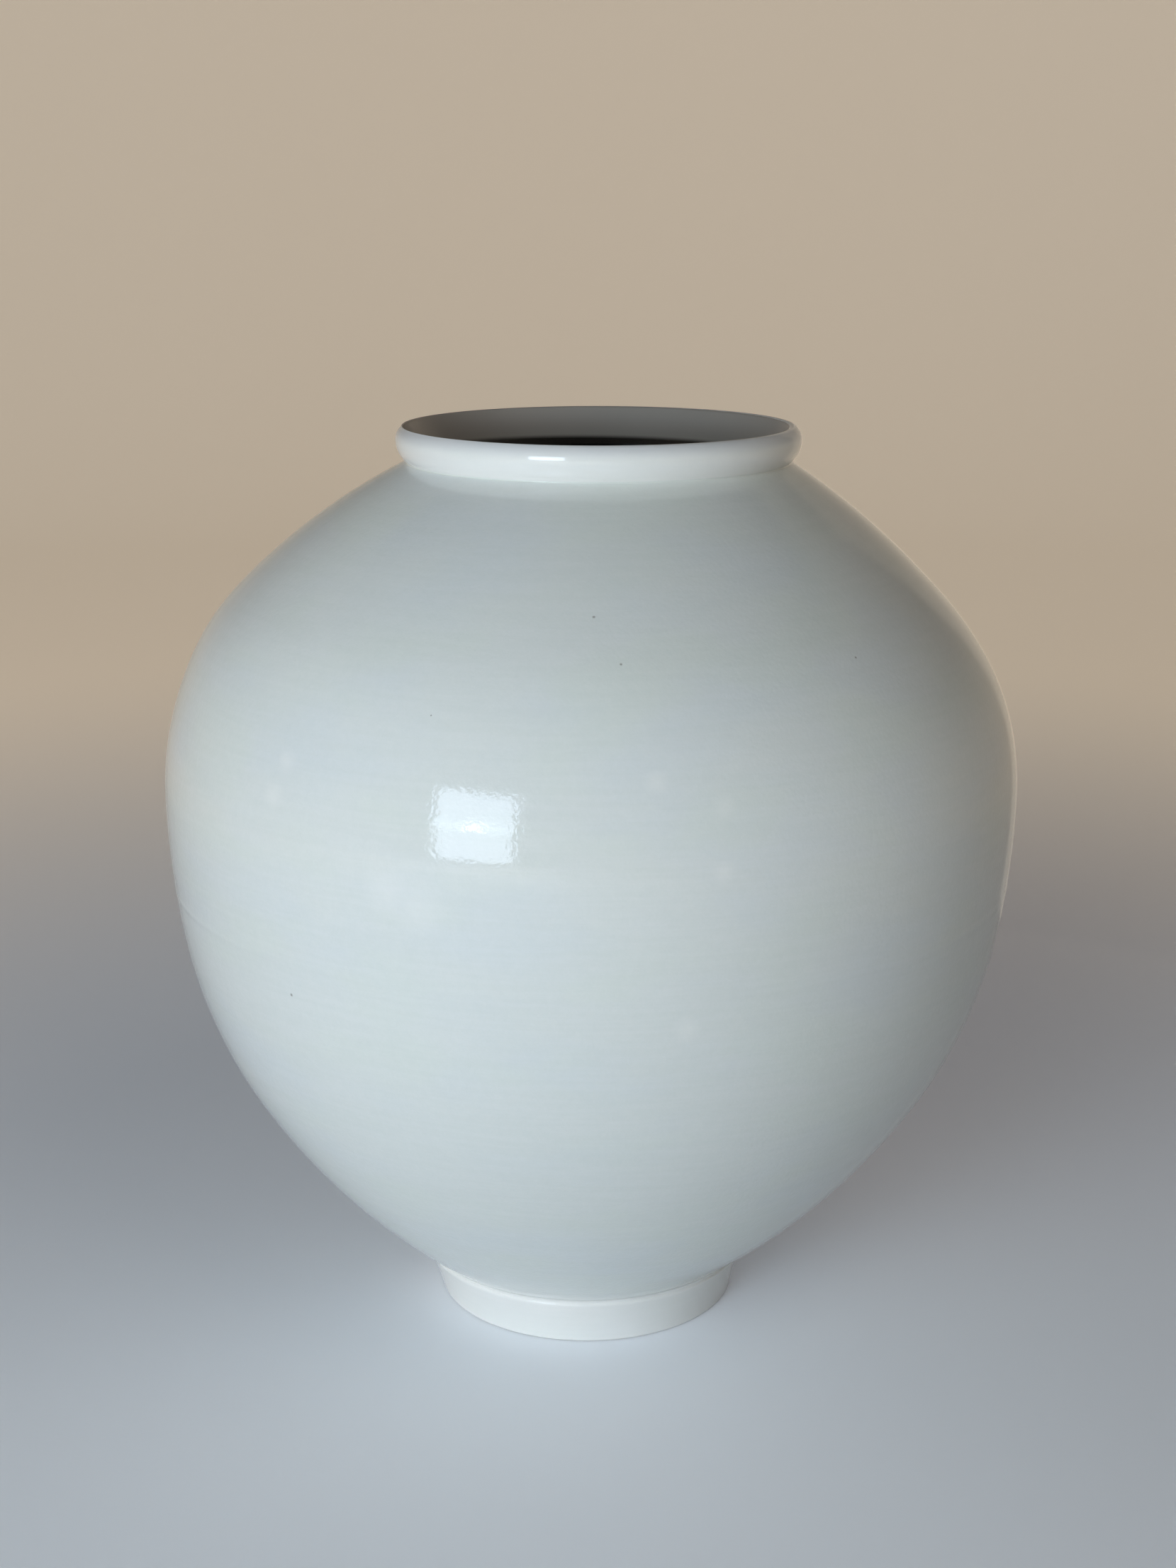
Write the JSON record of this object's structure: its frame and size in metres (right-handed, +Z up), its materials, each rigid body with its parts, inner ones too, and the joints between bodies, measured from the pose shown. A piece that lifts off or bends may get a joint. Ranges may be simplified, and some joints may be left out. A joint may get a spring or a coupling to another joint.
{
  "type": "moon jar",
  "caption": "Full-bodied white glazed storage jar made of two bowls joined rim to rim, with a low foot ring and a short flared mouth collar, open at the top.",
  "frame": {"origin": "centre of the belly's axis at the level of the surface the foot ring stands on", "axes": "+Z up along the axis of the upper bowl, -Y towards the pictured side, +X to the viewer's right"},
  "size_m": [0.3, 0.3, 0.3193],
  "materials": {
    "body_glaze": "glossy pale blue-white glaze over porcelain",
    "foot_glaze": "glossy whiter glaze, bare on the bearing face",
    "collar_glaze": "glossy whiter glaze, with a grey liner glaze inside the mouth",
    "slip": "fired porcelain slip under the glaze",
    "inner_clay": "smeared porcelain coil under the near-black liner glaze"
  },
  "bodies": {
    "root": {"foot_ring": "foot_glaze", "foot_slip_joint": "slip", "lower_bowl": "body_glaze", "belly_slip_joint": "slip", "belly_seam_coil": "inner_clay", "upper_bowl": "body_glaze", "collar_slip_joint": "slip", "mouth_collar": "collar_glaze"}
  },
  "joints": []
}
